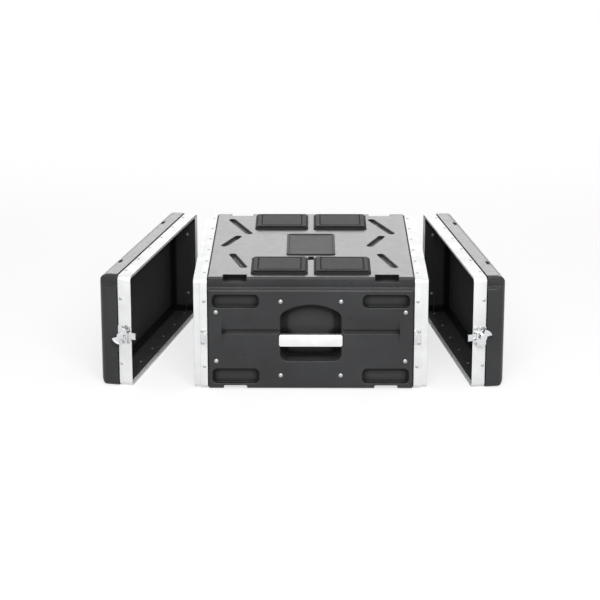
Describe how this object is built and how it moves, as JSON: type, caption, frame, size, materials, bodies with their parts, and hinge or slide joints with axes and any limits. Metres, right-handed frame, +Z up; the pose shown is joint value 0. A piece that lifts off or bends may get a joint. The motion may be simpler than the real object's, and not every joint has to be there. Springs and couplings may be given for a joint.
{
  "type": "equipment rack case",
  "caption": "Moulded black rack case for 19 inch audio gear, open at both ends, with bright metal edge profiles, recessed side handles and two lift-off latched lids.",
  "frame": {"origin": "middle of the flat underside of the body", "axes": "+X from the front opening to the rear opening, +Y to the left seen from the front, +Z up"},
  "size_m": [0.8349, 0.585, 0.247],
  "materials": {
    "shell": "moulded, fine pebble grain",
    "cup": "moulded",
    "valance": "bright anodised extrusion",
    "rivet": "bare domed rivet",
    "grip": "satin anodised bar",
    "screw": "zinc plated",
    "badge": "bare moulded plate",
    "rail": "black coated steel",
    "pad": "matte grain",
    "latch": "bright zinc plated steel"
  },
  "bodies": {
    "case_body": {"body_shell": "shell", "handle_cup_right": "cup", "handle_cup_left": "cup", "front_body_valance": "valance", "rear_body_valance": "valance", "front_body_rivets": "rivet", "rear_body_rivets": "rivet", "rail_rivets": "rivet", "handle_rivets": "rivet", "keeper_rivets": "rivet", "handle_grip_right": "grip", "handle_grip_left": "grip", "grip_screws": "screw", "badge_plate": "badge", "rail_front_right": "rail", "pad_front_right": "pad", "keeper_front_right": "latch", "rail_front_left": "rail", "pad_front_left": "pad", "keeper_front_left": "latch", "rail_rear_right": "rail", "pad_rear_right": "pad", "keeper_rear_right": "latch", "rail_rear_left": "rail", "pad_rear_left": "pad", "keeper_rear_left": "latch"},
    "front_lid": {"front_lid_shell": "shell", "front_lid_valance": "valance", "front_lid_rivets": "rivet", "latch_base_front_right": "latch", "latch_base_front_left": "latch", "front_hook_pins": "screw", "front_latch_rivets": "rivet"},
    "rear_lid": {"rear_lid_shell": "shell", "rear_lid_valance": "valance", "rear_lid_rivets": "rivet", "latch_base_rear_right": "latch", "latch_base_rear_left": "latch", "rear_hook_pins": "screw", "rear_latch_rivets": "rivet"},
    "wing_front_right": {"wing_front_right": "latch"},
    "hook_front_right": {"hook_front_right": "latch"},
    "wing_front_left": {"wing_front_left": "latch"},
    "hook_front_left": {"hook_front_left": "latch"},
    "wing_rear_right": {"wing_rear_right": "latch"},
    "hook_rear_right": {"hook_rear_right": "latch"},
    "wing_rear_left": {"wing_rear_left": "latch"},
    "hook_rear_left": {"hook_rear_left": "latch"}
  },
  "joints": [
    {"name": "front_lid_close", "type": "hinge", "parent": "case_body", "child": "front_lid", "pos_m": [-0.228, 0.439, 0], "axis": [0, 0, 1], "range_deg": [0, 11.5]},
    {"name": "rear_lid_close", "type": "hinge", "parent": "case_body", "child": "rear_lid", "pos_m": [0.228, 0.484, 0], "axis": [0, 0, -1], "range_deg": [0, 8]},
    {"name": "wing_front_right_twist", "type": "hinge", "parent": "front_lid", "child": "wing_front_right", "pos_m": [-0.39203, -0.26493, 0.114], "axis": [-0.1994, -0.9799, 0], "range_deg": [0, 180]},
    {"name": "hook_front_right_rock", "type": "hinge", "parent": "front_lid", "child": "hook_front_right", "pos_m": [-0.38007, -0.26634, 0.114], "axis": [0, 0, 1], "range_deg": [0, 18]},
    {"name": "wing_front_left_twist", "type": "hinge", "parent": "front_lid", "child": "wing_front_left", "pos_m": [-0.27899, 0.29069, 0.114], "axis": [0.1994, 0.9799, 0], "range_deg": [0, 180]},
    {"name": "hook_front_left_rock", "type": "hinge", "parent": "front_lid", "child": "hook_front_left", "pos_m": [-0.26743, 0.28732, 0.114], "axis": [0, 0, -1], "range_deg": [0, 18]},
    {"name": "wing_rear_right_twist", "type": "hinge", "parent": "rear_lid", "child": "wing_rear_right", "pos_m": [0.35502, -0.27319, 0.114], "axis": [0.1392, -0.9903, 0], "range_deg": [0, 180]},
    {"name": "hook_rear_right_rock", "type": "hinge", "parent": "rear_lid", "child": "hook_rear_right", "pos_m": [0.34299, -0.27387, 0.114], "axis": [0, 0, -1], "range_deg": [0, 18]},
    {"name": "wing_rear_left_twist", "type": "hinge", "parent": "rear_lid", "child": "wing_rear_left", "pos_m": [0.27611, 0.28829, 0.114], "axis": [-0.1392, 0.9903, 0], "range_deg": [0, 180]},
    {"name": "hook_rear_left_rock", "type": "hinge", "parent": "rear_lid", "child": "hook_rear_left", "pos_m": [0.26436, 0.28563, 0.114], "axis": [0, 0, 1], "range_deg": [0, 18]}
  ],
  "couplings": [
    {"joint": "hook_front_right_rock", "follows": "wing_front_right_twist", "ratio": 0.1},
    {"joint": "hook_front_left_rock", "follows": "wing_front_left_twist", "ratio": 0.1},
    {"joint": "hook_rear_right_rock", "follows": "wing_rear_right_twist", "ratio": 0.1},
    {"joint": "hook_rear_left_rock", "follows": "wing_rear_left_twist", "ratio": 0.1}
  ]
}
